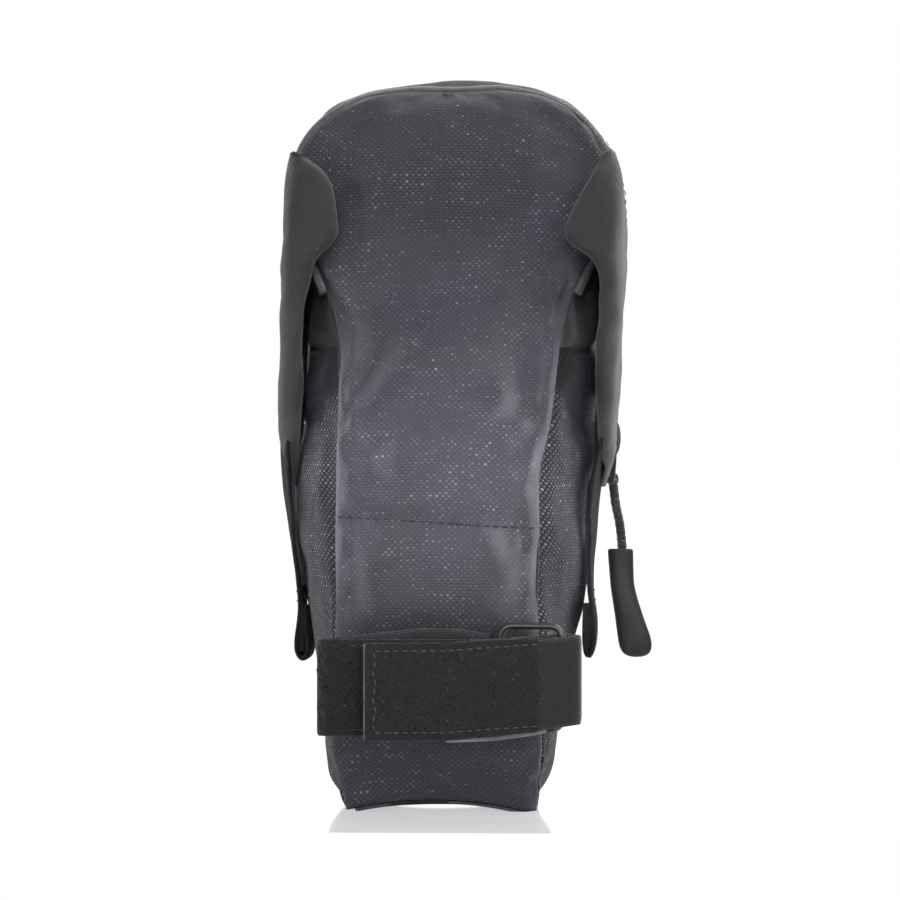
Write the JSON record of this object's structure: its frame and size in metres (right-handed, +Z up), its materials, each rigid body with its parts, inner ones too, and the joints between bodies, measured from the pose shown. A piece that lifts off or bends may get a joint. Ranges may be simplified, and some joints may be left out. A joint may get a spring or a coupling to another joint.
{
  "type": "saddle bag",
  "caption": "Wedge saddle bag with a zipped clamshell back, a hook-and-loop strap for the seatpost, side straps for the saddle rails and a cord zip pull.",
  "frame": {"origin": "middle of the nose's flat base, on the plane the bag stands on", "axes": "+Z up from the nose to the wide rear end, +Y towards the zipped back, -Y towards the seatpost, +X to the right seen from the seatpost side"},
  "size_m": [0.0987, 0.114, 0.1884],
  "materials": {
    "shell_fabric": "heather coated weave",
    "base_fabric": "coated weave",
    "lining_fabric": "plain smooth nylon",
    "binding": "folded tape with a slight shine",
    "board": "flexible sheet",
    "zip_teeth": "moulded coil",
    "zip_tape": "herringbone tape",
    "slider_metal": "black lacquer",
    "wing_nylon": "fine diagonal twill",
    "webbing": "ribbed webbing",
    "pile": "fuzzy loop pile",
    "hook_tape": "small hooks on a tape",
    "reflective": "silver beaded film",
    "cord": "braided cord",
    "grip_rubber": "matt moulded rubber",
    "ring_metal": "black lacquered wire"
  },
  "bodies": {
    "bag": {"front_panel": "shell_fabric", "side_wall_left": "shell_fabric", "side_wall_right": "shell_fabric", "back_panel": "shell_fabric", "base_panel": "base_fabric", "upper_gusset": "shell_fabric", "lining": "lining_fabric", "front_binding": "binding", "base_board": "board", "back_board": "board", "zip_teeth_body": "zip_teeth", "zip_tape_body": "zip_tape", "zip_teeth_tail": "zip_teeth", "zip_tape_tail": "zip_tape", "zip_stop_left": "slider_metal", "zip_stop_right": "slider_metal", "wing_left": "wing_nylon", "wing_right": "wing_nylon", "rail_loop_left": "wing_nylon", "rail_loop_right": "wing_nylon", "post_strap": "webbing", "post_pile": "pile", "ring_tab": "webbing"},
    "lid": {"rear_lid": "shell_fabric", "lid_lining": "lining_fabric", "zip_teeth_lid": "zip_teeth", "zip_tape_lid": "zip_tape", "light_loop": "webbing", "reflective_strip": "reflective"},
    "slider": {"zip_slider": "slider_metal", "slider_bail": "slider_metal"},
    "pull": {"pull_cord": "cord", "pull_grip": "grip_rubber"},
    "ring": {"strap_ring": "ring_metal"},
    "strap_end": {"post_strap_end": "webbing", "post_hook": "hook_tape"},
    "tail_left": {"rail_strap_left": "webbing", "rail_hook_left": "hook_tape"},
    "tail_right": {"rail_strap_right": "webbing", "rail_hook_right": "hook_tape"}
  },
  "joints": [
    {"name": "lid_open", "type": "hinge", "parent": "bag", "child": "lid", "pos_m": [0, 0.0629, 0.0986], "axis": [-1, 0, 0], "range_deg": [0, 100]},
    {"name": "zip_slide", "type": "slide", "parent": "bag", "child": "slider", "axis": [0.071, 0, 0.9975], "range_m": [0, 0.047]},
    {"name": "pull_swing", "type": "hinge", "parent": "slider", "child": "pull", "pos_m": [0.0435, 0.0435, 0.09395], "axis": [0, -1, 0], "range_deg": [-5, 140]},
    {"name": "post_strap_peel", "type": "hinge", "parent": "bag", "child": "strap_end", "pos_m": [0.0369, -0.0367, 0.0321], "axis": [0, 0, 1], "range_deg": [0, 150]},
    {"name": "ring_swing", "type": "hinge", "parent": "bag", "child": "ring", "pos_m": [0.0154, -0.0304, 0.033], "axis": [0, 0, 1], "range_deg": [-4, 1.5]},
    {"name": "tail_left_swing", "type": "hinge", "parent": "bag", "child": "tail_left", "pos_m": [-0.043, 0.0205, 0.098], "axis": [0, 1, 0], "range_deg": [0, 150]},
    {"name": "tail_right_swing", "type": "hinge", "parent": "bag", "child": "tail_right", "pos_m": [0.043, 0.0205, 0.098], "axis": [0, -1, 0], "range_deg": [0, 150]}
  ]
}
